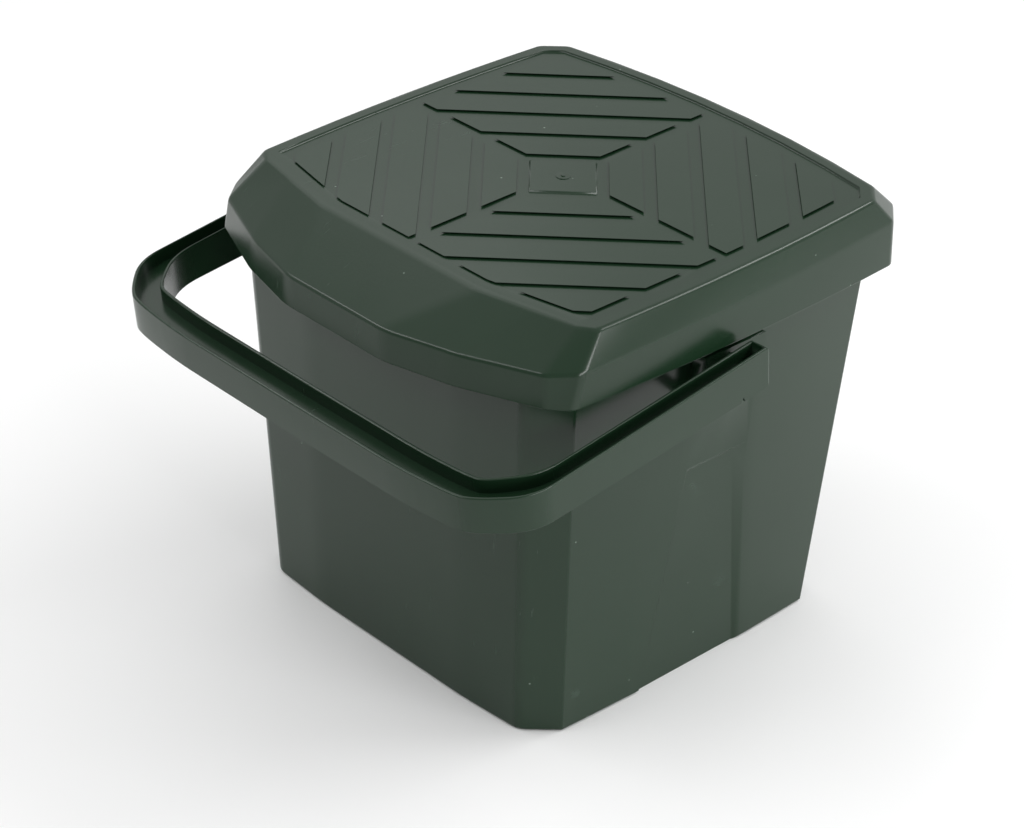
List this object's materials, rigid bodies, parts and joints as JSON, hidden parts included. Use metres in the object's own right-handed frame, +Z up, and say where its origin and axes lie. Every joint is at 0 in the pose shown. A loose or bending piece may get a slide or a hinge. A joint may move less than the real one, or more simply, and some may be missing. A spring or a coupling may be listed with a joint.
{
  "type": "portable camp toilet",
  "caption": "Boxy plastic bucket toilet with a lift-off ring seat, a patterned lift-off lid and a swinging bail handle held out level at the front.",
  "frame": {"origin": "the middle of the bucket's base, on the floor, right under the middle of the lid's pattern", "axes": "+Z up, -Y to the front where the lid's prow and the handle's bar are, X across, and the object is the same on both sides of X = 0"},
  "size_m": [0.35, 0.3933, 0.2982],
  "materials": {
    "bucket": "dark green polypropylene, satin with a soft gloss",
    "lid": "dark green polypropylene, satin with a soft gloss",
    "seat": "dark green polypropylene, satin",
    "handle": "dark green polypropylene, satin with a soft gloss",
    "pin": "dark green polypropylene, matte"
  },
  "bodies": {
    "bucket": {"bucket": "bucket", "pivot_pin_left": "pin", "pivot_pin_right": "pin"},
    "seat": {"seat": "seat"},
    "lid": {"lid": "lid"},
    "handle": {"handle": "handle"}
  },
  "joints": [
    {"name": "seat_lift", "type": "slide", "parent": "bucket", "child": "seat", "axis": [0, 0, 1], "range_m": [0, 0.12]},
    {"name": "lid_lift", "type": "slide", "parent": "seat", "child": "lid", "axis": [0, 0, 1], "range_m": [0, 0.1]},
    {"name": "handle_swing", "type": "hinge", "parent": "bucket", "child": "handle", "pos_m": [0, -0.0118, 0.2383], "axis": [-1, 0, 0], "range_deg": [0, 180]}
  ]
}
